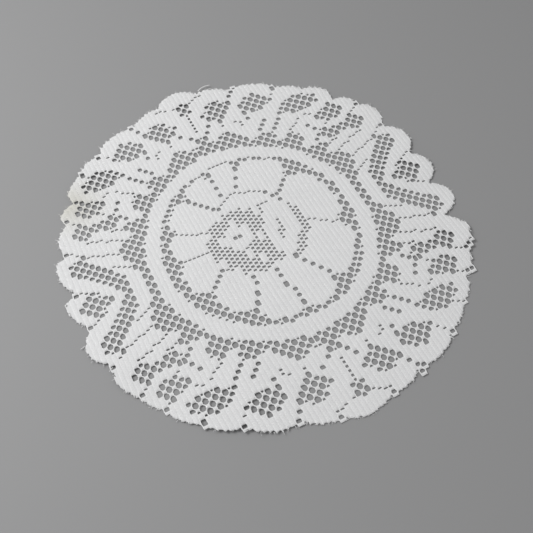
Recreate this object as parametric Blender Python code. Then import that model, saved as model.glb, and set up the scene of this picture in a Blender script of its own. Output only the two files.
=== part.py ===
# A round doily of machine lace, lying flat on a table.
# Metres, +Z up. +Y runs along the stitch columns and the origin is under the middle.

import math

import bmesh
import bpy

MM = 0.001
NAME = "doily"
WELD = 0.001 * MM

# The lace
THICKNESS = 1.2 * MM
STITCH_COLUMN = 2.94  # mm between two stitch columns
COURSE = 1.456  # mm between two courses
NET_SCALE = 2  # the net is cut at this many times its pitch
NET_GAP = STITCH_COLUMN * NET_SCALE  # mm from the middle of one gap to the next
NET_THREAD = 1.8  # mm, width of the columns and crossing threads left standing
LEAST_GAP = 4.0  # mm, the shortest gap that is cut
LONGEST_GAP = 7.5 * COURSE  # mm, past which a gap gets a crossing thread
GAP_SHOULDER = 0.7  # how far in from its ends a gap reaches full width, in half widths
SEARCH_STEP = 0.4  # mm, how finely a column is searched for net

# The plain band between the flower and the border
BAND_INNER = 63.0
BAND_OUTER = 71.0
NET_OUTER = 75.6  # mm, where the net outside the band ends between its points
NET_OUTER_SIDE = 78.2  # mm, the same at the left and right, up to SIDE_ANGLE
SIDE_ANGLE = 15.0

# Scalloped edge, one quarter: angle and radius of a notch, and radius of the lobe after it
SCALLOPS = (
    # degrees, mm, mm
    (-6.2, 118.5, 125.0),
    (6.2, 118.5, 127.5),
    (19.4, 121.0, 129.5),
    (30.6, 127.0, 128.8),
    (38.0, 124.3, 128.2),
    (48.5, 125.2, 126.6),
    (57.8, 124.2, 125.6),
    (71.9, 120.5, 124.6),
    (82.5, 122.6, 127.0),
    (97.5, 122.6, 124.6),
)
LOBE_POINTS = 11
LOBE_SHARPNESS = 2.6  # how square a lobe's shoulders are

# Points of net that run out from the band, one quarter
NET_POINTS = (
    # degrees at foot, tip, tip and foot, mm to the tip
    (11.0, 20.5, 24.5, 29.0, 87.5),
    (29.5, 31.5, 34.5, 40.0, 86.0),
    (42.0, 43.5, 50.0, 53.5, 85.5),
    (54.5, 56.8, 61.0, 67.0, 84.0),
    (68.0, 77.5, 79.0, 84.5, 85.0),
    (85.0, 87.5, 92.5, 95.0, 87.5),
)

# Patches of net in the scrolls of the border, one quarter: tapered bars with round ends
NET_PATCHES = (
    # mm: x, y, radius at one end, x, y, radius at the other
    (99.5, 1.5, 1.5, 109.0, 1.5, 7.0),
    (109.0, 1.5, 7.0, 116.5, 1.5, 2.5),
    (90.5, 0.0, 5.0, 91.5, 11.0, 5.0),
    (91.5, 11.0, 5.0, 100.0, 21.0, 5.0),
    (100.0, 21.0, 5.0, 108.5, 29.0, 7.0),
    (77.5, 53.0, 3.6, 82.0, 52.0, 4.3),
    (82.0, 53.5, 3.0, 92.0, 54.0, 3.0),
    (92.0, 53.5, 3.0, 98.5, 54.0, 6.4),
    (98.5, 54.0, 6.4, 102.5, 54.0, 3.5),
    (79.0, 71.0, 2.0, 87.0, 68.5, 6.3),
    (87.0, 68.5, 6.3, 94.5, 69.0, 4.0),
    (62.0, 84.5, 2.5, 70.0, 85.5, 7.0),
    (70.0, 85.5, 7.0, 84.0, 83.5, 4.0),
    (35.5, 97.5, 3.0, 45.0, 97.0, 7.5),
    (45.0, 97.0, 7.5, 53.0, 96.0, 2.5),
    (12.0, 100.0, 3.2, 20.5, 101.5, 7.6),
    (20.5, 101.5, 7.6, 27.5, 103.0, 3.0),
)

# Net round the flower: it starts at a petal's tip and reaches in at the seam between two
PETALS = (
    # degrees of a seam, mm to the net there, mm to the tip of the petal after it
    (-13.0, 48.0, 56.0),
    (45.5, 48.0, 61.0),
    (79.5, 56.0, 61.5),
    (100.5, 54.0, 60.0),
    (122.7, 55.0, 57.5),
    (151.5, 52.5, 56.5),
    (174.5, 50.0, 56.5),
    (206.5, 47.0, 55.5),
    (239.0, 50.0, 57.0),
    (270.0, 53.5, 57.5),
    (298.5, 49.5, 55.5),
    (347.0, 48.0, 56.0),
)
PETAL_SHARPNESS = 5  # how square a petal's tip is

# Open seams between petals, from the middle of the flower outwards
PETAL_SEAMS = (
    # mm: x, y at the first gap, x, y at the last
    (21.0, 24.5, 32.5, 34.5),
    (0.5, 41.0, 7.5, 51.0),
    (-10.0, 40.0, -10.0, 51.0),
    (-18.0, 30.0, -29.5, 44.5),
    (-33.5, 18.5, -44.5, 24.0),
    (-35.5, 5.7, -47.0, 5.7),
    (-33.5, -11.0, -40.5, -20.0),
    (-18.5, -26.0, -26.0, -42.5),
    (-4.4, -26.5, -1.0, -49.0),
    (11.0, -22.0, 22.0, -41.5),
    (30.5, -1.0, 46.0, -9.5),
)
SEAM_GAP_WIDTH = 2.2
SEAM_GAP_LENGTH = 4.0
SEAM_SPACING = 6.0  # mm, about, from one gap of a seam to the next

# How the cloth is pulled out of round where it lies: each row moves it by dx, dy at x, y
PULLS = (
    # mm: x, y, dx, dy, reach
    (0.0, 0.0, -1.6, -1.1, 55.0),
    (100.0, 0.0, -1.5, 2.9, 55.0),
    (70.7, 70.7, 1.3, -3.2, 55.0),
    (0.0, 100.0, -1.9, 4.6, 55.0),
    (-70.7, 70.7, 0.7, -4.4, 55.0),
    (-100.0, 0.0, 2.2, 2.1, 55.0),
    (-70.7, -70.7, -3.6, 3.5, 55.0),
    (0.0, -100.0, 2.0, -2.8, 55.0),
    (70.7, -70.7, 1.7, -0.2, 55.0),
    (-113.0, 58.0, 2.0, -0.7, 14.0),
    (90.0, 91.0, 1.8, 1.8, 10.0),
    (-125.0, 5.0, -1.2, 0.0, 12.0),
    (-25.0, 118.0, 0.0, -1.0, 12.0),
)


def to_quarter(x, y):
    """Degrees from +X, folded into the first quarter."""
    return math.degrees(math.atan2(abs(y), abs(x)))


def edge_radius(angle):
    """Radius of the scalloped edge: a flat-topped hump between each two notches."""
    folded = abs((angle + 180) % 360 - 180)
    folded = min(folded, 180 - folded)
    for (start, low, top), (end, next_low, _) in zip(SCALLOPS, SCALLOPS[1:]):
        if start <= folded <= end:
            along = (folded - start) / (end - start)
            foot = low + (next_low - low) * along
            hump = 1 - abs(2 * along - 1) ** LOBE_SHARPNESS
            return foot + (top - (low + next_low) / 2) * hump
    raise ValueError(f"no scallop at {angle} degrees")


def outside_bar(x, y, row):
    """Distance from a tapered bar with round ends, negative inside."""
    x0, y0, r0, x1, y1, r1 = row
    run = (x1 - x0, y1 - y0)
    along = ((x - x0) * run[0] + (y - y0) * run[1]) / (run[0] ** 2 + run[1] ** 2)
    along = min(max(along, 0), 1)
    off = math.hypot(x - x0 - along * run[0], y - y0 - along * run[1])
    return off - r0 - (r1 - r0) * along


def in_border_net(x, y):
    """Net outside the band: its inner ring with points, and the patches in the scrolls."""
    angle = to_quarter(x, y)
    outer = NET_OUTER_SIDE if angle < SIDE_ANGLE else NET_OUTER
    for foot, tip, tip_end, foot_end, reach in NET_POINTS:
        rise = min((angle - foot) / (tip - foot), (foot_end - angle) / (foot_end - tip_end), 1)
        outer = max(outer, NET_OUTER + (reach - NET_OUTER) * rise)
    in_ring = BAND_OUTER < math.hypot(x, y) < outer
    return in_ring or any(outside_bar(abs(x), abs(y), row) < 0 for row in NET_PATCHES)


def in_flower_net(x, y):
    """Net inside the band, round the petals."""
    first_seam = PETALS[0][0]
    angle = (math.degrees(math.atan2(y, x)) - first_seam) % 360 + first_seam
    for (start, low, tip), (end, next_low, _) in zip(PETALS, PETALS[1:]):
        if start <= angle <= end:
            along = (angle - start) / (end - start)
            foot = low + (next_low - low) * along
            petal = foot + (tip - foot) * (1 - abs(2 * along - 1) ** PETAL_SHARPNESS)
            return petal < math.hypot(x, y) < BAND_INNER
    return False


def in_net(x, y):
    if math.hypot(x, y) > (BAND_INNER + BAND_OUTER) / 2:
        return in_border_net(x, y)
    return in_flower_net(x, y)


def net_runs(x):
    """Each unbroken stretch of net, lowest to highest, along one column of gaps."""
    reach = max(top for _, _, top in SCALLOPS)
    steps = int(2 * reach / SEARCH_STEP)
    runs = []
    start = None
    for step in range(steps + 1):
        y = step * SEARCH_STEP - reach
        open_here = all(in_net(x + side, y) for side in (-NET_GAP / 4, 0, NET_GAP / 4))
        if open_here and start is None:
            start = y
        elif start is not None and not open_here:
            runs.append((start, y - SEARCH_STEP))
            start = None
    return runs


def gap_outline(x, low, high, width):
    """A gap between two columns: six corners, drawn in to a point at both ends."""
    half = width / 2
    shoulder = min(half * GAP_SHOULDER, (high - low) / 3)
    return [
        (x, low),
        (x + half, low + shoulder),
        (x + half, high - shoulder),
        (x, high),
        (x - half, high - shoulder),
        (x - half, low + shoulder),
    ]


def net_gaps():
    """The gaps of the net: crossing threads share each stretch of a column out evenly."""
    gaps = []
    columns = int(max(top for _, _, top in SCALLOPS) / NET_GAP)
    for column in range(-columns, columns + 1):
        x = column * NET_GAP
        for low, high in net_runs(x):
            if high - low < LEAST_GAP:
                continue
            count = math.ceil((high - low + NET_THREAD) / (LONGEST_GAP + NET_THREAD))
            pitch = (high - low + NET_THREAD) / count
            for n in range(count):
                foot = low + n * pitch
                gaps.append(gap_outline(x, foot, foot + pitch - NET_THREAD, NET_GAP - NET_THREAD))
    return gaps


def seam_gaps():
    """A row of small gaps down each seam between two petals."""
    gaps = []
    for x0, y0, x1, y1 in PETAL_SEAMS:
        count = max(round(math.hypot(x1 - x0, y1 - y0) / SEAM_SPACING), 1)
        for n in range(count + 1):
            x = x0 + (x1 - x0) * n / count
            y = y0 + (y1 - y0) * n / count
            low = y - SEAM_GAP_LENGTH / 2
            gaps.append(gap_outline(x, low, low + SEAM_GAP_LENGTH, SEAM_GAP_WIDTH))
    return gaps


def scalloped_edge():
    """Corners of the edge, lobe by lobe round the four quarters."""
    angles = set()
    for (start, _, _), (end, _, _) in zip(SCALLOPS, SCALLOPS[1:]):
        for step in range(LOBE_POINTS):
            angle = start + (end - start) * step / LOBE_POINTS
            for turned in (angle, 180 - angle, 180 + angle, -angle):
                angles.add(round(turned % 360, 3))
    return [
        (edge_radius(a) * math.cos(math.radians(a)), edge_radius(a) * math.sin(math.radians(a)))
        for a in sorted(angles)
    ]


def laid(point):
    """Where a point of the round pattern lies on the table."""
    x, y = point
    moved_x, moved_y = x, y
    for pull_x, pull_y, dx, dy, reach in PULLS:
        weight = math.exp(-((x - pull_x) ** 2 + (y - pull_y) ** 2) / (2 * reach**2))
        moved_x += dx * weight
        moved_y += dy * weight
    return moved_x, moved_y


def add_outline(curve, points, middle):
    spline = curve.splines.new("POLY")
    spline.points.add(len(points) - 1)
    for spline_point, (x, y) in zip(spline.points, points):
        spline_point.co = ((x - middle[0]) * MM, (y - middle[1]) * MM, 0, 1)
    spline.use_cyclic_u = True


def lace_material():
    """Matt white cotton."""
    material = bpy.data.materials.new("whiteLace")
    material.use_nodes = True
    shader = material.node_tree.nodes["Principled BSDF"]
    shader.inputs["Base Color"].default_value = (0.86, 0.87, 0.88, 1)
    shader.inputs["Roughness"].default_value = 0.85
    shader.inputs["Metallic"].default_value = 0
    return material


def make_outline(collection):
    """The edge and the gaps as one filled curve, centred over the origin and standing on it."""
    edge = [laid(point) for point in scalloped_edge()]
    middle = [(min(values) + max(values)) / 2 for values in zip(*edge)]
    curve = bpy.data.curves.new("laceOutline", "CURVE")
    curve.dimensions = "2D"
    curve.fill_mode = "BOTH"
    curve.extrude = THICKNESS / 2
    add_outline(curve, edge, middle)
    for gap in net_gaps() + seam_gaps():
        add_outline(curve, [laid(point) for point in gap], middle)
    outline = bpy.data.objects.new("laceOutline", curve)
    outline.location.z = THICKNESS / 2
    collection.objects.link(outline)
    bpy.context.view_layer.update()
    return outline


def make_sheet(collection):
    """The lace as one flat solid: the outline made a mesh and its caps welded to its sides."""
    outline = make_outline(collection)
    evaluated = outline.evaluated_get(bpy.context.evaluated_depsgraph_get())
    mesh = bpy.data.meshes.new_from_object(evaluated)
    mesh.name = NAME
    mesh.materials.clear()
    mesh.materials.append(lace_material())
    welder = bmesh.new()
    welder.from_mesh(mesh)
    bmesh.ops.remove_doubles(welder, verts=welder.verts, dist=WELD)
    welder.to_mesh(mesh)
    welder.free()
    sheet = bpy.data.objects.new(NAME, mesh)
    sheet.matrix_world = outline.matrix_world
    collection.objects.link(sheet)
    bpy.data.objects.remove(outline)


for old in list(bpy.data.objects):
    bpy.data.objects.remove(old)
doily_collection = bpy.data.collections.new("laceDoily")
bpy.context.scene.collection.children.link(doily_collection)
make_sheet(doily_collection)
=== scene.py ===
import bpy
import numpy as np
from mathutils import Matrix, Vector


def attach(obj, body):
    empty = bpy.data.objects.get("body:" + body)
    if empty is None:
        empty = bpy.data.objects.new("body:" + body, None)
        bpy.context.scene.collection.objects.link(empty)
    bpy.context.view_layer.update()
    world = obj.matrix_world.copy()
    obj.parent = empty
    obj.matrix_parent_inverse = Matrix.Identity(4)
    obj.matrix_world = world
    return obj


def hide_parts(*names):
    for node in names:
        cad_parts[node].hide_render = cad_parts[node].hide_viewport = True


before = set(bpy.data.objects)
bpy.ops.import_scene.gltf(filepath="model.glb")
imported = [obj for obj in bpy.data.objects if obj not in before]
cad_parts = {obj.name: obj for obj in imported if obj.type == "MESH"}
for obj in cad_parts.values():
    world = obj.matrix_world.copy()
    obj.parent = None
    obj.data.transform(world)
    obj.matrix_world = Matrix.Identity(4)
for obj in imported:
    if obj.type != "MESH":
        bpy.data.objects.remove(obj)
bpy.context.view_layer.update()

mm = 0.001

# The cloth is worked in columns of chain stitch with a gap between each two. In the chart gap i is
# centred on x = i * columnPitch, and course j of every gap on y = j * coursePitch, in millimetres.
cloth = {
    "columnPitch": 2.97,
    "coursePitch": 1.5,
    "aside": 0.7,  # how far the chart lies to the right on the cloth
    "halves": 8.0,  # left of this far from the middle the border's pattern is one gap further out
    "bandInner": 63.0,
    "bandOuter": 71.0,
    "netOuter": 76.3,  # where the ring of net outside the band ends between its points
    "rim": 3.0,  # closed cloth all along the edge
    "gapsOut": 46,  # gaps and courses in the chart on each side of the middle
    "coursesOut": 90,
    "tallest": 3,  # courses in the highest opening
}

scallops = (
    # angle of a notch in the edge, its radius, then the angle and radius of the lobe's top after it
    (5.7, 118.4, 13.3, 128.4),
    (19.7, 121.5, 27.0, 131.2),
    (31.3, 127.2, 34.0, 129.2),
    (39.3, 122.6, 44.2, 128.0),
    (49.8, 124.4, 53.0, 126.4),
    (58.2, 124.0, 62.5, 126.6),
    (72.8, 120.8, 79.5, 123.8),
    (83.0, 122.4, 90.5, 127.8),
    (97.2, 122.5, 100.6, 124.2),
    (107.8, 121.0, 118.3, 126.8),
    (122.6, 122.8, 128.6, 128.2),
    (131.4, 127.4, 137.6, 129.2),
    (141.0, 124.0, 147.2, 129.6),
    (149.0, 125.0, 154.4, 129.2),
    (160.2, 120.6, 163.0, 128.4),
    (173.8, 118.2, 177.0, 126.0),
    (186.3, 118.4, 193.2, 128.8),
    (199.6, 120.4, 206.4, 128.6),
    (211.3, 127.0, 214.8, 127.6),
    (218.8, 126.2, 224.2, 128.2),
    (229.0, 127.2, 232.4, 128.2),
    (238.0, 124.8, 244.6, 126.6),
    (252.0, 120.2, 259.0, 125.2),
    (262.4, 123.8, 268.4, 127.8),
    (277.4, 123.6, 281.4, 125.4),
    (287.0, 121.6, 297.4, 128.0),
    (300.8, 125.6, 307.4, 127.8),
    (311.2, 126.4, 315.0, 128.6),
    (319.2, 126.0, 325.2, 129.0),
    (328.2, 126.2, 334.6, 130.2),
    (340.0, 116.8, 347.2, 128.6),
    (353.0, 116.6, 358.6, 126.2),
)

picots = (
    # open meshes that stand in the notches of the edge: angle, radius, height in courses
    (20.3, 121.8, 2),
    (32.0, 126.6, 2),
    (58.7, 124.0, 2),
    (71.2, 121.8, 1),
    (72.6, 119.4, 2),
    (107.9, 120.8, 2),
    (122.6, 122.8, 2),
    (131.3, 126.4, 2),
    (140.8, 123.4, 2),
    (147.9, 127.0, 2),
    (159.7, 121.6, 2),
    (174.2, 118.6, 2),
    (186.2, 119.0, 2),
    (200.4, 121.6, 2),
    (211.2, 125.8, 2),
    (218.6, 126.0, 2),
    (228.8, 126.8, 2),
    (238.0, 124.2, 2),
    (251.9, 120.6, 2),
    (262.4, 123.6, 2),
    (277.2, 123.4, 2),
    (286.8, 124.8, 2),
    (288.7, 122.8, 2),
    (287.4, 120.4, 2),
    (301.2, 124.8, 2),
    (311.2, 125.2, 1),
    (321.0, 125.4, 2),
    (322.2, 128.0, 2),
    (328.7, 125.4, 2),
    (330.3, 127.6, 2),
    (331.9, 129.2, 1),
)

netPoints = (
    # angles at foot, tip, tip and foot of a point of net that runs out from the band; its reach
    (7.0, 20.0, 25.0, 30.0, 87.0),
    (30.0, 31.0, 35.0, 40.0, 86.0),
    (42.0, 44.0, 50.0, 54.0, 86.0),
    (55.0, 57.0, 61.0, 67.0, 84.0),
    (68.0, 77.0, 80.0, 85.0, 85.0),
    (85.0, 87.0, 93.0, 95.0, 87.0),
)

netPatches = (
    # tapered bars of net in the scrolls: x, y, radius at one end, x, y, radius at the other
    (99.0, 1.0, 2.0, 109.0, 1.0, 7.0),
    (109.0, 1.0, 7.0, 115.0, 1.0, 2.0),
    (88.0, 0.0, 3.0, 91.0, 11.0, 5.0),
    (91.0, 11.0, 5.0, 100.0, 21.0, 5.0),
    (100.0, 21.0, 5.0, 108.0, 29.0, 7.0),
    (77.0, 53.0, 4.0, 91.0, 54.0, 4.0),
    (91.0, 54.0, 4.0, 98.0, 54.0, 7.0),
    (98.0, 54.0, 7.0, 103.0, 54.0, 3.0),
    (78.0, 69.0, 3.0, 87.0, 69.0, 7.0),
    (87.0, 69.0, 7.0, 94.0, 69.0, 4.0),
    (58.0, 84.0, 2.0, 70.0, 86.0, 8.0),
    (70.0, 86.0, 8.0, 82.0, 84.0, 4.0),
    (37.0, 99.0, 3.0, 45.0, 98.0, 8.0),
    (45.0, 98.0, 8.0, 53.0, 97.0, 4.0),
    (45.0, 98.0, 5.0, 48.0, 105.0, 2.0),
    (36.0, 97.0, 2.0, 36.0, 88.0, 2.0),
    (11.0, 100.0, 3.0, 20.0, 102.0, 8.0),
    (20.0, 102.0, 8.0, 27.0, 104.0, 3.0),
    (20.0, 102.0, 5.0, 22.0, 110.0, 2.0),
    (18.0, 96.0, 2.0, 18.0, 90.0, 2.0),
    (0.0, 110.0, 4.0, 0.0, 114.0, 4.0),
)

borderSeams = (
    # lines of small gaps in the border: x, y to x, y, and how many courses each gap is high
    (105.0, 8.0, 117.0, 13.0, 1),
    (103.0, 38.0, 114.0, 43.0, 1),
    (83.0, 29.0, 104.0, 36.0, 1),
    (78.0, 38.0, 86.0, 41.0, 1),
    (88.0, 43.0, 97.0, 45.0, 1),
    (74.0, 45.0, 81.0, 47.0, 1),
    (80.0, 17.0, 88.0, 21.0, 1),
    (67.0, 51.0, 71.0, 54.0, 2),
    (73.0, 58.0, 68.0, 65.0, 2),
    (76.0, 59.0, 83.0, 63.0, 1),
    (55.0, 67.0, 66.0, 73.0, 1),
    (70.0, 75.0, 78.0, 71.0, 1),
    (47.0, 73.0, 63.0, 89.0, 2),
    (74.0, 90.0, 82.0, 95.0, 1),
    (88.0, 76.0, 98.0, 79.0, 1),
    (99.0, 61.0, 109.0, 67.0, 1),
    (55.0, 98.0, 66.0, 107.0, 1),
    (29.0, 106.0, 37.0, 114.0, 2),
    (31.0, 84.0, 26.0, 89.0, 1),
    (38.0, 76.0, 45.0, 82.0, 2),
    (5.0, 88.0, 12.0, 96.0, 2),
    (0.0, 92.0, 0.0, 107.0, 1),
    (6.0, 116.0, 15.0, 119.0, 1),
)

petals = (
    # the seam before a petal as the angle and radius of its head and of its foot; how far out
    # the petal's end and the net beyond it reach
    (-2.0, 32.0, -13.0, 45.0, 57.0, 61.0),
    (45.0, 34.0, 45.0, 46.0, 60.0, 63.0),
    (85.0, 41.0, 80.0, 54.0, 61.0, 62.0),
    (102.0, 41.0, 100.0, 52.0, 60.0, 62.0),
    (118.0, 34.0, 123.0, 52.0, 60.0, 64.0),
    (150.0, 35.0, 151.0, 50.0, 58.0, 64.0),
    (172.0, 36.0, 175.0, 48.0, 57.0, 64.0),
    (200.0, 34.0, 207.0, 45.0, 55.0, 64.0),
    (235.0, 29.0, 240.0, 46.0, 57.0, 62.0),
    (263.0, 25.0, 270.0, 50.0, 57.0, 61.0),
    (300.0, 24.0, 299.0, 46.0, 57.0, 62.0),
)

flowerSeams = (
    # lines of small gaps over the fine net: x, y to x, y, and how many courses each gap is high
    (-15.0, 32.0, -3.0, 38.0, 1),
    (0.0, 38.0, 15.0, 31.0, 1),
    (18.0, 29.0, 24.0, 20.0, 2),
    (9.0, 22.0, 15.0, 22.0, 1),
    (-15.0, 7.0, -12.0, 7.0, 2),
)

fineNet = {
    "disc": (-8.5, 2.0, 26.0, 25.0),  # middle x, y and half sizes of the patch of fine net
    "eye": (-13.0, 6.0, 9.0, 8.0),  # closed cloth within it
    "leaf": (16.0, -1.0, 11.0, 22.5),  # where a closed leaf overlaps it
    "leafLean": 0.06,
    "barEvery": 2,  # gaps from one line of closed bars to the next
    "barRepeat": 16,  # courses
    "barHeight": 4,
    "barRise": 5,
}

fineStrips = (
    # tapered bars of fine net beside and on the leaf: x, y, radius, x, y, radius, first course
    (27.0, 15.0, 1.0, 28.0, 9.0, 3.0, 1),
    (28.0, 9.0, 3.0, 28.0, -6.0, 3.0, 1),
    (26.0, -7.0, 3.0, 20.0, -15.0, 3.0, 1),
    (20.0, -15.0, 3.0, 13.0, -21.0, 2.0, 1),
    (15.0, 7.0, 1.0, 15.0, -2.0, 1.0, 0),
    (12.0, 0.0, 1.0, 12.0, -6.0, 1.0, 0),
)


def scallopRadius(angle):
    # Radius of the edge: from a notch up to the lobe's top, and down to the next, as 1 - (1 - t) ** 2.2.
    turned = (angle - scallops[0][0]) % 360 + scallops[0][0]
    radius = np.zeros_like(turned)
    following = scallops[1:] + ((scallops[0][0] + 360,) + scallops[0][1:],)
    for (start, low, middle, top), (end, nextLow, _, _) in zip(scallops, following):
        rising = turned < middle
        t = np.where(rising, (turned - start) / (middle - start), (end - turned) / (end - middle))
        foot = np.where(rising, low, nextLow)
        arch = foot + (top - foot) * (1 - (1 - np.clip(t, 0, 1)) ** 2.2)
        radius = np.where((turned >= start) & (turned <= end), arch, radius)
    return radius


def picotCells():
    # Gap, first course and height in courses of every mesh at the edge.
    cells = []
    for angle, radius, courses in picots:
        x, y = radius * np.cos(np.radians(angle)), radius * np.sin(np.radians(angle))
        first = round(y / cloth["coursePitch"] - (courses - 1) / 2)
        cells.append((round((x - cloth["aside"]) / cloth["columnPitch"]), first, courses))
    return cells


def insidePicots(x, y, further=0.6):
    # Within a mesh at the edge and its chains, and so many courses further above and below.
    inside = np.zeros(x.shape, bool)
    for gap, first, courses in picotCells():
        away = np.abs(y - (first + (courses - 1) / 2) * cloth["coursePitch"])
        middle = gap * cloth["columnPitch"] + cloth["aside"]
        near = np.abs(x - middle) < 0.7 * cloth["columnPitch"]
        inside |= near & (away < (courses / 2 + further) * cloth["coursePitch"])
    return inside


def insideBar(x, y, row):
    # Within a tapered bar: nearer to its axis than its radius, which runs evenly end to end.
    x0, y0, r0, x1, y1, r1 = row
    length = (x1 - x0) ** 2 + (y1 - y0) ** 2
    t = np.clip(((x - x0) * (x1 - x0) + (y - y0) * (y1 - y0)) / length, 0, 1)
    return np.hypot(x - x0 - t * (x1 - x0), y - y0 - t * (y1 - y0)) < r0 + (r1 - r0) * t


def insideOval(x, y, oval):
    # Within an oval: the squares of both offsets over its half sizes add up to less than 1.
    return ((x - oval[0]) / oval[2]) ** 2 + ((y - oval[1]) / oval[3]) ** 2 < 1


def borderNet(x, y):
    # Open net outside the band: a ring that rises to its points, and the patches in the scrolls.
    further = cloth["columnPitch"] * (x < -cloth["halves"])
    x, y = np.abs(x) - further, np.abs(y)
    r = np.hypot(x, y)
    angle = np.degrees(np.arctan2(y, x))
    ring = cloth["netOuter"]
    outer = np.full_like(r, ring)
    for foot, tip, tipEnd, footEnd, reach in netPoints:
        rise = np.minimum((angle - foot) / (tip - foot), (footEnd - angle) / (footEnd - tipEnd))
        outer = np.maximum(outer, ring + (reach - ring) * np.clip(rise, 0, 1))
    net = (r > cloth["bandOuter"]) & (r < outer)
    for row in netPatches:
        net |= insideBar(x, y, row)
    return net


def flowerNet(x, y):
    # Open net between the petals and the band: each petal's end is a foot plus 1 - |2t - 1| ** 4.
    r = np.hypot(x, y)
    first = petals[0][2]
    angle = (np.degrees(np.arctan2(y, x)) - first) % 360 + first
    inner = np.full_like(r, cloth["bandInner"])
    outer = np.zeros_like(r)
    closing = petals[0][:2] + (first + 360,) + petals[0][3:]
    for (_, _, start, low, tip, band), (_, _, end, nextLow, _, nextBand) in zip(
        petals, petals[1:] + (closing,)
    ):
        t = (angle - start) / (end - start)
        foot = low + (nextLow - low) * t
        petal = foot + (tip - foot) * (1 - np.abs(2 * t - 1) ** 4)
        within = (t >= 0) & (t <= 1)
        inner = np.where(within, petal, inner)
        outer = np.where(within, band + (nextBand - band) * t, outer)
    return (r > inner) & (r < outer)


def petalSeams():
    # A line of small gaps from the head to the foot of each seam, two courses high where it is steep.
    rows = []
    for headAngle, head, footAngle, foot, _, _ in petals:
        x0, y0 = head * np.cos(np.radians(headAngle)), head * np.sin(np.radians(headAngle))
        x1, y1 = foot * np.cos(np.radians(footAngle)), foot * np.sin(np.radians(footAngle))
        rows.append((x0, y0, x1, y1, 1 + int(abs(y1 - y0) > abs(x1 - x0))))
    return rows


def seamCells(rows):
    # Gap and course of every opening along the seams, read off each line at the gaps' spacing.
    wide, high = cloth["columnPitch"], cloth["coursePitch"]
    cells = []
    for x0, y0, x1, y1, courses in rows:
        across = abs(round(x1 / wide) - round(x0 / wide))
        along = round(abs(y1 - y0) / high / (courses + 1))
        steps = max(across, along if across * 1.5 < along else 0, 0)
        for step in range(steps + 1):
            t = step / max(steps, 1)
            gap = round((x0 + (x1 - x0) * t) / wide)
            middle = (y0 + (y1 - y0) * t) / high
            first = round(middle - (courses - 1) / 2)
            cells += [(gap, first + course) for course in range(courses)]
    return cells


def makeChart():
    # Which gaps are open, course by course: net where a tie crosses every fourth course, fine net
    # where it crosses every second, seams, and closed cloth everywhere else.
    wide, high = cloth["columnPitch"], cloth["coursePitch"]
    gaps, courses = cloth["gapsOut"], cloth["coursesOut"]
    i = np.arange(-gaps, gaps + 1)[:, None]
    j = np.arange(-courses, courses + 1)[None, :]
    x, y = i * wide + 0.0 * j, j * high + 0.0 * i
    r = np.hypot(x, y)
    inBorder = r > (cloth["bandInner"] + cloth["bandOuter"]) / 2
    net = np.where(inBorder, borderNet(x, y), flowerNet(x, y))
    odd = (i + (x < -cloth["halves"])) % 2
    opened = net & ((j + 2 * odd) % 4 != 0)

    fine = insideOval(x, y, fineNet["disc"])
    leaning = x - fineNet["leafLean"] * y
    fine &= ~insideOval(x, y, fineNet["eye"]) & ~insideOval(leaning, y, fineNet["leaf"])
    every, rise = fineNet["barEvery"], fineNet["barRise"]
    bars = (j + rise * (i // every)) % fineNet["barRepeat"] < fineNet["barHeight"]
    fine &= ~(bars & (i % every == 0))
    opened |= fine & ((i + j) % 2 == 0)
    for row in fineStrips:
        opened |= insideBar(x, y, row[:6]) & ((i + j) % 2 == row[6])

    for gap, course in seamCells(list(flowerSeams) + petalSeams()):
        opened[gap + gaps, course + courses] = True
    for gap, course in seamCells(borderSeams):
        for side in (gaps - gap - (gap * wide > cloth["halves"]), gaps + gap):
            for end in (courses - course, courses + course):
                opened[side, end] = True
    # Nothing opens in the rim but the meshes at the edge.
    edge = scallopRadius(np.degrees(np.arctan2(y, x + cloth["aside"])))
    opened &= np.hypot(x + cloth["aside"], y) < edge - cloth["rim"]

    for gap, first, height in picotCells():
        opened[gap + gaps, first + courses : first + courses + height] = True

    # A tie crosses where an opening would be higher than the tallest.
    tooTall = cloth["tallest"] + 1
    run = np.zeros(len(i), int)
    for course in range(opened.shape[1]):
        run = np.where(opened[:, course], run + 1, 0)
        opened[:, course] &= run < tooTall
        run[run == tooTall] = 0
    return opened

# How the cloth lies on the table.
pulls = (
    # where the cloth was pulled as it was laid down: x, y, how far in x and y, and over what reach
    (0.0, 0.0, -1.6, -1.1, 55.0),
    (100.0, 0.0, -1.5, 2.9, 55.0),
    (70.7, 70.7, 1.3, -3.2, 55.0),
    (0.0, 100.0, -1.9, 4.6, 55.0),
    (-70.7, 70.7, 0.7, -4.4, 55.0),
    (-100.0, 0.0, 2.2, 2.1, 55.0),
    (-70.7, -70.7, -3.6, 3.5, 55.0),
    (0.0, -100.0, 2.0, -2.8, 55.0),
    (70.7, -70.7, 1.7, -0.2, 55.0),
    (-113.0, 58.0, 2.0, -0.7, 14.0),
    (90.0, 91.0, 1.8, 1.8, 10.0),
    (-125.0, 5.0, -1.2, 0.0, 12.0),
    (-25.0, 118.0, 0.0, -1.0, 12.0),
)

lie = {
    "middle": (-0.343, 0.185),  # of the outline as it lies, which goes over the origin
    "height": 0.5,  # of the middle of the cloth over the table
    "lift": 1.6,  # highest that a wave stands at the edge
    "waves": 9,
    "rim": 125.0,  # radius at which a wave has its full height
}


def laid(x, y):
    # Every pull adds its shift times exp(-d * d / (2 * reach * reach)), d being the distance to it.
    movedX, movedY = x - lie["middle"][0], y - lie["middle"][1]
    for pullX, pullY, dx, dy, reach in pulls:
        weight = np.exp(-((x - pullX) ** 2 + (y - pullY) ** 2) / (2 * reach**2))
        movedX, movedY = movedX + dx * weight, movedY + dy * weight
    return movedX, movedY


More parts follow.
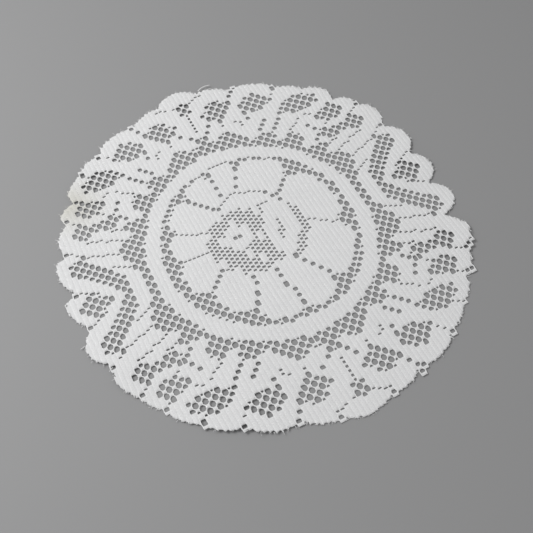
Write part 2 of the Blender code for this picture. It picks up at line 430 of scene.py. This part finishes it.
def wave(x, y):
    # Lift of the cloth: lift * (r / rim) ** 4 * a product of two rounded waves round the edge.
    turn = np.arctan2(y, x)
    rim = (np.hypot(x, y) / lie["rim"]) ** 4
    first = 0.5 + 0.5 * np.sin(lie["waves"] * turn + 0.7 + 1.3 * np.sin(2 * turn))
    second = 0.6 + 0.4 * np.sin(3 * turn + 2.1)
    return lie["lift"] * rim * first * second


def placed(x, y, z):
    # Cloth coordinates and height over the cloth's middle, in mm, to points of the scene in metres.
    laidX, laidY = laid(x, y)
    return np.stack([laidX, laidY, lie["height"] + wave(x, y) + z], -1) * mm


def makePiece(name, points, faces):
    # Faces are rows of four point numbers, and a triangle repeats its last number.
    used, faces = np.unique(faces, return_inverse=True)
    faces = faces.reshape(-1, 4)
    points = points[used]
    sizes = 4 - (faces[:, 2] == faces[:, 3])
    corners = faces[np.arange(4)[None, :] < sizes[:, None]]
    mesh = bpy.data.meshes.new(name)
    mesh.vertices.add(len(points))
    mesh.vertices.foreach_set("co", points.ravel())
    mesh.loops.add(len(corners))
    mesh.loops.foreach_set("vertex_index", corners.astype(np.int32))
    mesh.polygons.add(len(faces))
    starts = np.concatenate([[0], np.cumsum(sizes)[:-1]])
    mesh.polygons.foreach_set("loop_start", starts.astype(np.int32))
    mesh.polygons.foreach_set("use_smooth", np.ones(len(faces), bool))
    mesh.update(calc_edges=True)
    mesh.validate()
    plan = mesh.uv_layers.new(name="OFBake")  # seen from above, as the cloth lies
    plan.data.foreach_set("uv", (points[corners][:, :2] / 0.28 + 0.5).ravel())
    piece = bpy.data.objects.new(name, mesh)
    bpy.context.scene.collection.objects.link(piece)
    return piece


def ringPoints(x, y, z, heading, wide, high, sides, phase=0.5):
    # Oval rings across a thread: to its left by wide * cos(a), and up by high * sin(a).
    a = (np.arange(sides) + phase) * 2 * np.pi / sides
    px = x[..., None] - (np.sin(heading) * wide)[..., None] * np.cos(a)
    py = y[..., None] + (np.cos(heading) * wide)[..., None] * np.cos(a)
    pz = z[..., None] + high[..., None] * np.sin(a)
    return placed(px, py, pz).reshape(-1, 3), np.arange(px.size).reshape(px.shape)


def tubes(rings, live):
    # Faces of tubes on a grid of rings (tube, ring, side), where live says which rings are on.
    after = np.roll(rings, -1, axis=2)
    walls = np.stack([rings[:, :-1], after[:, :-1], after[:, 1:], rings[:, 1:]], -1)
    faces = [walls[live[:, :-1] & live[:, 1:]].reshape(-1, 4)]
    off = np.zeros((len(rings), 1), bool)
    first = live & ~np.concatenate([off, live[:, :-1]], 1)
    last = live & ~np.concatenate([live[:, 1:], off], 1)
    for side in range(1, rings.shape[2] - 1):
        faces.append(rings[:, :, [0, side + 1, side, side]][first])
        faces.append(rings[:, :, [0, side, side + 1, side + 1]][last])
    return np.concatenate(faces)


ground = {
    "pillar": 0.5,  # width of a chain of stitches
    "tiePull": 0.7,  # how far a tie draws in the chains beside it
    "clothPull": 0.35,  # how far closed cloth draws a chain away from a gap
    "endMiddle": 0.38,  # how much the cloth closes the end of a gap, at its middle
    "endSide": 0.46,  # and at its sides
    "single": 0.38,  # and for a gap of one course
    "singleSide": 0.05,  # and how much more at its sides
    "fine": 0.0,  # and in the fine net, whose ties are thin
    "thick": 0.1,
    "snap": 0.5,  # how near the stepped edge comes to the scallops
    "teeth": 0.9,  # how deep the edge is notched between chains, or every second course
    "ragged": 0.2,
    "cutBack": 1.5,  # how far at most the stepped edge moves in
    "reachOut": 0.9,  # and out
}


def tiesOf(opened):
    # A tie is a closed course with an open one on both sides.
    above = np.pad(opened, ((0, 0), (0, 1)))[:, 1:]
    below = np.pad(opened, ((0, 0), (1, 0)))[:, :-1]
    return ~opened & above & below, opened & (above | below)


def shiftOf(opened):
    # Sideways shift of each chain at the line below each course, the mean of the two courses there.
    tie, tall = tiesOf(opened)
    pull = ground["tiePull"] * (tie[1:] * 1.0 - tie[:-1])
    pull += ground["clothPull"] * (tall[:-1] * 1.0 - tall[1:])
    return (np.pad(pull, ((0, 0), (1, 0))) + np.pad(pull, ((0, 0), (0, 1)))) / 2


def lineGrid(opened):
    # Lines of the cloth: three along each gap (side, middle, side) and one under each course.
    wide, high = cloth["columnPitch"], cloth["coursePitch"]
    gaps, courses = (opened.shape[0] - 1) // 2, (opened.shape[1] - 1) // 2
    chains = (np.arange(-gaps, gaps) + 0.5)[:, None] * wide + cloth["aside"] + shiftOf(opened)
    left = chains[:-1] + ground["pillar"] / 2
    right = chains[1:] - ground["pillar"] / 2
    x = np.stack([left, (left + right) / 2, right], 1)
    lines = (np.arange(-courses, courses + 2) - 0.5) * high
    inner, ties = opened[1:-1], tiesOf(opened)[0][1:-1]
    lower, upper = np.pad(inner, ((0, 0), (1, 0))), np.pad(inner, ((0, 0), (0, 1)))
    single = inner & ~lower[:, :-1] & ~upper[:, 1:]
    lone = np.pad(single, ((0, 0), (1, 0))) | np.pad(single, ((0, 0), (0, 1)))
    tied = np.pad(ties, ((0, 0), (1, 0))) | np.pad(ties, ((0, 0), (0, 1)))
    small = np.where(tied, ground["fine"], ground["single"])
    inwards = upper * 1.0 - lower  # an end of a gap moves towards the gap
    middle = np.where(lone, small, ground["endMiddle"]) * inwards
    side = np.where(lone, small + ground["singleSide"], ground["endSide"]) * inwards
    return chains, x, lines[None, None, :] + np.stack([side, middle, side], 1)


def toothed(x, y):
    # Depth of the notches: (1 + cos) / 2 across the chains, and along them with a course in two.
    r = np.maximum(np.hypot(x, y), 1)
    across = 0.5 + 0.5 * np.cos(2 * np.pi * (x - cloth["aside"]) / cloth["columnPitch"])
    along = 0.5 + 0.5 * np.cos(np.pi * (y / cloth["coursePitch"] + 0.5))
    return ground["teeth"] * (across * (y / r) ** 2 + along * (x / r) ** 2)


def makeGround(opened):
    # The closed cells of the grid of lines as a slab: half the thickness up, half down, and walls.
    _, x, y = lineGrid(opened)
    columns, courses = x.shape[0] * 3, opened.shape[1]
    x, y = x.reshape(columns, -1), y.reshape(columns, -1)
    closed = np.ones((columns - 1, courses), bool)
    closed[0::3] = closed[1::3] = ~opened[1:-1]
    cellX = (x[:-1, :-1] + x[1:, :-1] + x[:-1, 1:] + x[1:, 1:]) / 4
    cellY = (y[:-1, :-1] + y[1:, :-1] + y[:-1, 1:] + y[1:, 1:]) / 4
    inside = np.hypot(cellX, cellY) < scallopRadius(np.degrees(np.arctan2(cellY, cellX)))
    solid = (inside | insidePicots(cellX, cellY)) & closed

    # Points on the stepped edge come most of the way to the scallops, less the teeth.
    around = np.pad(inside, 1).astype(int)
    met = around[:-1, :-1] + around[1:, :-1] + around[:-1, 1:] + around[1:, 1:]
    rim = (met > 0) & (met < 4) & ~insidePicots(x, y)
    r = np.hypot(x, y)
    draws = np.random.default_rng(4)
    short = toothed(x, y) * draws.uniform(0.3, 1.3, x.shape) - ground["ragged"] * draws.normal(size=x.shape)
    reach = scallopRadius(np.degrees(np.arctan2(y, x)))
    grow = np.clip((reach - r) * ground["snap"] - short, -ground["cutBack"], ground["reachOut"])
    grow = grow / np.maximum(r, 1)
    x, y = x + np.where(rim, grow * x, 0), y + np.where(rim, grow * y, 0)

    half = ground["thick"] / 2 + 0 * x
    top, base = placed(x, y, half).reshape(-1, 3), placed(x, y, -half).reshape(-1, 3)
    number = np.arange(x.size).reshape(x.shape)
    corners = [number[:-1, :-1], number[1:, :-1], number[1:, 1:], number[:-1, 1:]]
    upper = np.stack([corner[solid] for corner in corners], -1)
    under = upper[:, ::-1] + len(top)
    # A wall stands on every side of a cell that has no neighbour.
    ends = np.concatenate([upper[:, [k, (k + 1) % 4]] for k in range(4)])
    keys, backs = ends @ [len(top), 1], ends @ [1, len(top)]
    ends = ends[~np.isin(keys, backs)]
    walls = np.stack([ends[:, 1], ends[:, 0], ends[:, 0] + len(top), ends[:, 1] + len(top)], -1)
    piece = makePiece("laceGround", np.concatenate([top, base]), np.concatenate([upper, under, walls]))
    quads = top[upper]
    diagonals = (quads[:, 2] - quads[:, 0])[:, :2], (quads[:, 3] - quads[:, 1])[:, :2]
    return piece, float(np.abs(np.cross(*diagonals)).sum() / 2)


chain = {
    "thick": 0.17,  # half thickness of the thread
    "loop": 0.23,  # how far its two strands stand from the chain's middle within a stitch
    "meet": 0.09,  # and where one stitch passes through the next
    "slant": 0.07,
    "uneven": 0.1,
    "sides": 4,
    "past": 0.9,  # how far at most the last stitch stands past the scallops
    "further": 1.05,  # and past a mesh at the edge, in courses
}


def makeChains(opened):
    # Two strands to a chain: apart within a stitch and together at its ends, leaning left and right.
    chains, _, _ = lineGrid(opened)
    lines, high = chains.shape[1], cloth["coursePitch"]
    x = np.empty((chains.shape[0], lines * 2 - 1))
    x[:, 0::2], x[:, 1::2] = chains, (chains[:, :-1] + chains[:, 1:]) / 2
    order = np.arange(x.shape[1])
    y = np.broadcast_to((order / 2 - lines / 2 + 0.5) * high, x.shape)
    draws = np.random.default_rng(7)
    past = draws.uniform(-0.1, 1, (len(x), 2)) * chain["past"]
    past = np.where(y < 0, past[:, :1], past[:, 1:])
    live = np.hypot(x, y) < scallopRadius(np.degrees(np.arctan2(y, x))) + past
    live |= insidePicots(x, y, chain["further"])
    x = x + chain["slant"] * np.where(order % 4 == 1, 1, np.where(order % 4 == 3, -1, 0))
    apart = np.where(order % 2 == 1, chain["loop"], chain["meet"])
    x = np.concatenate([x - apart, x + apart])
    y, live = np.concatenate([y, y]), np.concatenate([live, live])
    thick = chain["thick"] * (1 + chain["uneven"] * draws.normal(size=x.shape))
    points, rings = ringPoints(x, y, 0 * x, 0 * x + np.pi / 2, thick, thick, chain["sides"], 0)
    place = np.arange(len(x)) % len(chains)
    halves = ("laceChainsLeft", place < len(chains) // 2), ("laceChainsRight", place >= len(chains) // 2)
    return [makePiece(name, points, tubes(rings[part], live[part])) for name, part in halves]


inlay = {
    "thick": 0.16,
    "sides": 4,
    "rise": 0.2,  # how far each end of a thread lies over or under its middle
    "apart": 0.36,  # how far each of the two lies from the middle of the course
    "tied": 0.6,  # how much nearer together they are in a tie
    "uneven": 0.07,
    "inset": 1.2,  # how far at most they stay inside the edge
}


def makeInlay(opened):
    # Two threads cross every closed gap, one rising to the right and the next back to the left.
    chains, _, _ = lineGrid(opened)
    middle = (chains[:, :-1] + chains[:, 1:]) / 2
    x = np.stack([middle[:-1], middle[1:]], -1)
    courses = x.shape[1]
    line = (np.arange(courses) - (courses - 1) / 2)[None, :, None] * cloth["coursePitch"] + 0 * x
    draws = np.random.default_rng(9)
    inset = draws.uniform(0.2, 1, x.shape[:2] + (1,)) * inlay["inset"]
    inside = np.hypot(x, line) < scallopRadius(np.degrees(np.arctan2(line, x))) - inset
    live = ~opened[1:-1] & (inside | insidePicots(x, line)).all(-1)
    apart = np.where(tiesOf(opened)[0][1:-1], inlay["tied"], 1)[:, :, None] * inlay["apart"]
    points, faces = [], []
    for way in (1, -1):
        rise = inlay["rise"] * way * np.array([-1, 1])
        y = line - way * apart + rise + inlay["uneven"] * draws.normal(size=x.shape)
        ends, y = x[live], y[live]
        level, thick = 0 * ends, 0 * ends + inlay["thick"]
        some, rings = ringPoints(ends, y, level, level, thick, thick, inlay["sides"], 0)
        faces.append(tubes(rings, thick > 0) + sum(len(p) for p in points))
        points.append(some)
    return makePiece("laceInlay", np.concatenate(points), np.concatenate(faces))


fray = {
    "count": 420,
    "long": 1.1,
    "thin": 0.13,
    "taper": 0.4,
    "root": 0.7,  # how far inside the edge a short end starts
    "steps": 4,
    "sides": 4,
    "straySteps": 14,
    "straySides": 6,
    "strayLift": 0.3,
}

strays = (
    # loose ends of thread: angle, radius, lean from outwards and bend in degrees, length, thickness
    (82.6, 123.4, -46.0, -52.0, 10.0, 0.36),
    (61.4, 124.6, 10.0, 25.0, 3.2, 0.24),
    (27.2, 130.0, 60.0, -40.0, 3.0, 0.22),
    (190.0, 127.0, 15.0, -20.0, 3.0, 0.24),
    (200.2, 122.6, 5.0, 10.0, 3.4, 0.24),
    (221.6, 125.6, 30.0, 15.0, 2.8, 0.22),
    (299.6, 125.4, 20.0, -30.0, 3.2, 0.24),
)


def threadEnds(angle, radius, lean, bend, length, thin, steps, sides, lift):
    # A thread leaves a point of the cloth at an angle and bends evenly, tapering, as an arc.
    t = np.linspace(0, 1, steps)[None, :]
    heading = np.radians(angle + lean + bend * t)
    step = length / (steps - 1)
    x = radius * np.cos(np.radians(angle)) + np.cumsum(np.cos(heading), 1) * step
    y = radius * np.sin(np.radians(angle)) + np.cumsum(np.sin(heading), 1) * step
    size = thin * (1 - fray["taper"] * t)
    points, rings = ringPoints(x, y, lift * t, heading, size, size, sides)
    return points, tubes(rings, size > 0)


def makeFray():
    # Short ends all round the edge, and the loose ones of the table.
    draws = np.random.default_rng(11)
    count = fray["count"]
    angle = np.sort(draws.uniform(0, 360, (count, 1)), 0)
    length = fray["long"] * (0.5 + draws.gamma(1.5, 0.4, (count, 1))).clip(0.5, 2)
    lean, bend = draws.normal(0, 35, (count, 1)), draws.normal(0, 40, (count, 1))
    radius, lift = scallopRadius(angle) - fray["root"], draws.normal(0, 0.12, (count, 1))
    # None stands in an open mesh of the edge.
    reach = np.concatenate([radius, radius + length / 2, radius + length], 1)
    turn = np.radians(angle)
    clear = ~insidePicots(reach * np.cos(turn), reach * np.sin(turn)).any(1)
    ends = [column[clear] for column in (angle, radius, lean, bend, length)]
    thin = fray["thin"] + 0 * ends[0]
    points, faces = threadEnds(*ends, thin, fray["steps"], fray["sides"], lift[clear])
    columns = [np.array(column)[:, None] for column in zip(*strays)]
    others, more = threadEnds(*columns, fray["straySteps"], fray["straySides"], fray["strayLift"])
    faces = np.concatenate([faces, more + len(points)])
    return makePiece("laceFray", np.concatenate([points, others]), faces)


class Shade:
    # A socket of a material, so that a sum of sockets can be written as a sum.
    def __init__(self, tree, socket=None):
        self.tree, self.socket = tree, socket

    def node(self, kind, settings=None, inputs=None, output=0):
        # Any node: its type, its settings, then the values or links of its sockets.
        node = self.tree.nodes.new(kind)
        for name, value in (settings or {}).items():
            setattr(node, name, value)
        for name, value in (inputs or {}).items():
            if isinstance(value, Shade):
                self.tree.links.new(value.socket, node.inputs[name])
            else:
                node.inputs[name].default_value = value
        return Shade(self.tree, node.outputs[output] if len(node.outputs) else None)

    def maths(self, operation, *values):
        return self.node("ShaderNodeMath", {"operation": operation}, dict(enumerate(values)))

    def __add__(self, other):
        return self.maths("ADD", self, other)

    def __radd__(self, other):
        return self.maths("ADD", other, self)

    def __sub__(self, other):
        return self.maths("SUBTRACT", self, other)

    def __rsub__(self, other):
        return self.maths("SUBTRACT", other, self)

    def __mul__(self, other):
        return self.maths("MULTIPLY", self, other)

    def __rmul__(self, other):
        return self.maths("MULTIPLY", other, self)


cotton = {
    "light": (0.95, 0.95, 0.95),
    "deep": (0.8, 0.802, 0.806),
    "sheen": 0.15,
    "bump": 0.5,
    "bumpHeight": 0.00008,
    "rough": 0.82,
    "stain": 0.95,
    "stainAt": (-0.097, 0.074),
    "stainReach": 0.03,
    "stainColour": (0.6, 0.585, 0.51),
    "broad": 22.0,  # blotches, yarns and fibres to a metre
    "yarn": 420.0,
    "fibre": 1400.0,
}
# The ground sheet is the same white cotton painted darker: painted shade that falls between and under the
# chains and inlay threads.
shadedClothCotton = dict(cotton, light=(0.82, 0.822, 0.826), deep=(0.66, 0.662, 0.666))


def makeCotton(name, settings):
    # White cotton: broad and fine noise mix two whites, and a round stain fades out over its reach.
    material = bpy.data.materials.new(name)
    material.use_nodes = True
    tree = material.node_tree
    tree.nodes.clear()
    graph = Shade(tree)
    place = graph.node("ShaderNodeTexCoord", output="Object")

    def noise(scale, detail):
        return graph.node("ShaderNodeTexNoise", None, {"Vector": place, "Scale": scale, "Detail": detail})

    broad, yarn = noise(settings["broad"], 3.0), noise(settings["yarn"], 1.0)
    fibre = noise(settings["fibre"], 2.0)
    tone = graph.node(
        "ShaderNodeMix",
        {"data_type": "RGBA"},
        {
            "Factor": broad * 0.35 + yarn * 0.4 + fibre * 0.25,
            "A": settings["deep"] + (1.0,),
            "B": settings["light"] + (1.0,),
        },
        "Result",
    )
    away = graph.node(
        "ShaderNodeVectorMath",
        {"operation": "DISTANCE"},
        {0: place, 1: settings["stainAt"] + (0.0,)},
        "Value",
    )
    near = graph.node(
        "ShaderNodeMapRange",
        {"interpolation_type": "SMOOTHSTEP"},
        {"Value": away, "From Min": settings["stainReach"], "From Max": 0.0},
    )
    stained = graph.node(
        "ShaderNodeMix",
        {"data_type": "RGBA"},
        {"Factor": near * broad * settings["stain"], "A": tone, "B": settings["stainColour"] + (1.0,)},
        "Result",
    )
    bump = graph.node(
        "ShaderNodeBump",
        None,
        {"Strength": settings["bump"], "Distance": settings["bumpHeight"], "Height": fibre * 0.6 + yarn},
    )
    surface = graph.node(
        "ShaderNodeBsdfPrincipled",
        None,
        {
            "Base Color": stained,
            "Roughness": settings["rough"] + 0.14 * fibre,
            "Normal": bump,
            "Sheen Weight": settings["sheen"],
            "Sheen Roughness": 0.5,
            "Specular IOR Level": 0.25,
        },
    )
    graph.node("ShaderNodeOutputMaterial", None, {"Surface": surface})
    return material


opened = makeChart()
print("chart:", int(opened.sum()), "open courses")
groundPiece, clothArea = makeGround(opened)
print("cloth area:", round(clothArea * 1e6), "square millimetres")
threads = makeChains(opened) + [makeInlay(opened), makeFray()]
# The ground sheet gets the darker cotton, which is painted shade; the threads get the plain white.
thread, inner = makeCotton("whiteThread", cotton), makeCotton("shadedWhiteCloth", shadedClothCotton)
for piece in [groundPiece] + threads:
    piece.data.materials.append(inner if piece is groundPiece else thread)
    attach(piece, "root")
    print(piece.name, sum(len(face.vertices) - 2 for face in piece.data.polygons), "triangles")
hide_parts("doily")

studio = {
    "floor": (0.31, 0.31, 0.313),
    "reach": 3.0,
    "world": 0.395,
    "keyPlace": (-0.52, 0.36, 0.74),
    "keyWide": 0.5,
    "key": 6.1,
    "fillPlace": (0.7, -0.6, 0.8),
    "fillWide": 0.9,
    "fill": 0.5,
}


def makeFloor():
    # A flat square that runs out by the reach on all four sides.
    mesh, reach = bpy.data.meshes.new("floor"), studio["reach"]
    corners = [(-reach, -reach, 0), (reach, -reach, 0), (reach, reach, 0), (-reach, reach, 0)]
    mesh.from_pydata(corners, [], [(0, 1, 2, 3)])
    floor = bpy.data.objects.new("floor", mesh)
    bpy.context.scene.collection.objects.link(floor)
    material = bpy.data.materials.new("paleFloor")
    material.use_nodes = True
    surface = material.node_tree.nodes["Principled BSDF"]
    surface.inputs["Base Color"].default_value = studio["floor"] + (1.0,)
    surface.inputs["Roughness"].default_value = 0.7
    mesh.materials.append(material)


def addLamp(name, place, wide, watts):
    # A round lamp that faces the middle of the cloth.
    data = bpy.data.lights.new(name, "AREA")
    data.shape, data.size, data.energy = "DISK", wide, watts
    lamp = bpy.data.objects.new(name, data)
    bpy.context.scene.collection.objects.link(lamp)
    lamp.location = place
    lamp.rotation_euler = (-Vector(place)).to_track_quat("-Z", "Y").to_euler()


makeFloor()
addLamp("keyLamp", studio["keyPlace"], studio["keyWide"], studio["key"])
addLamp("fillLamp", studio["fillPlace"], studio["fillWide"], studio["fill"])
world = bpy.context.scene.world or bpy.data.worlds.new("studio")
bpy.context.scene.world = world
world.use_nodes = True
sky = world.node_tree.nodes["Background"]
sky.inputs["Color"].default_value = (1, 1, 1, 1)
sky.inputs["Strength"].default_value = studio["world"]
bpy.context.scene.view_settings.view_transform = "Standard"
print("studio: floor, two lamps and a white sky")

view = {
    "lens": 54.1,
    "sensor": 36.0,
    "place": (-0.13405, -0.23145, 0.41952),
    "right": (0.8822, -0.4701, 0.0290),
    "up": (0.3928, 0.7685, 0.5052),
}


def addCamera():
    # It looks back along right x up.
    data = bpy.data.cameras.new("camera")
    data.lens, data.sensor_width, data.clip_start = view["lens"], view["sensor"], 0.01
    camera = bpy.data.objects.new("camera", data)
    bpy.context.scene.collection.objects.link(camera)
    right, up = Vector(view["right"]).normalized(), Vector(view["up"]).normalized()
    back = right.cross(up).normalized()
    turn = Matrix((right, back.cross(right), back)).transposed().to_4x4()
    camera.matrix_world = Matrix.Translation(Vector(view["place"])) @ turn
    bpy.context.scene.camera = camera


addCamera()
